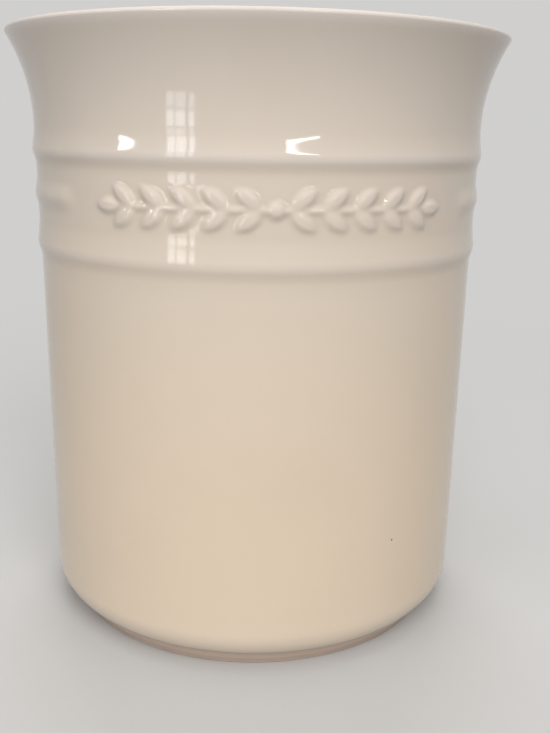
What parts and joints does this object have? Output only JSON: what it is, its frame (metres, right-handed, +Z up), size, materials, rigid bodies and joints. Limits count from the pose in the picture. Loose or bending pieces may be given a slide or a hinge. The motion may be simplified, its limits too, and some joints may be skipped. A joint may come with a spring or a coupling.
{
  "type": "utensil crock",
  "caption": "Round glazed stoneware pot for standing kitchen utensils, with a flared lip, soft raised rings, a leaf relief and a foot ring.",
  "frame": {"origin": "middle of the standing foot, on the surface that the crock stands on", "axes": "+Z up along the crock's own axis; -Y towards the front, where the leaf relief is centred"},
  "size_m": [0.1502, 0.1502, 0.178],
  "materials": {
    "bare_clay": "matte",
    "white_glaze": "gloss"
  },
  "bodies": {
    "root": {"stoneware_body": "bare_clay", "outside_glaze": "white_glaze", "inside_glaze": "white_glaze", "underside_glaze": "white_glaze"}
  },
  "joints": []
}
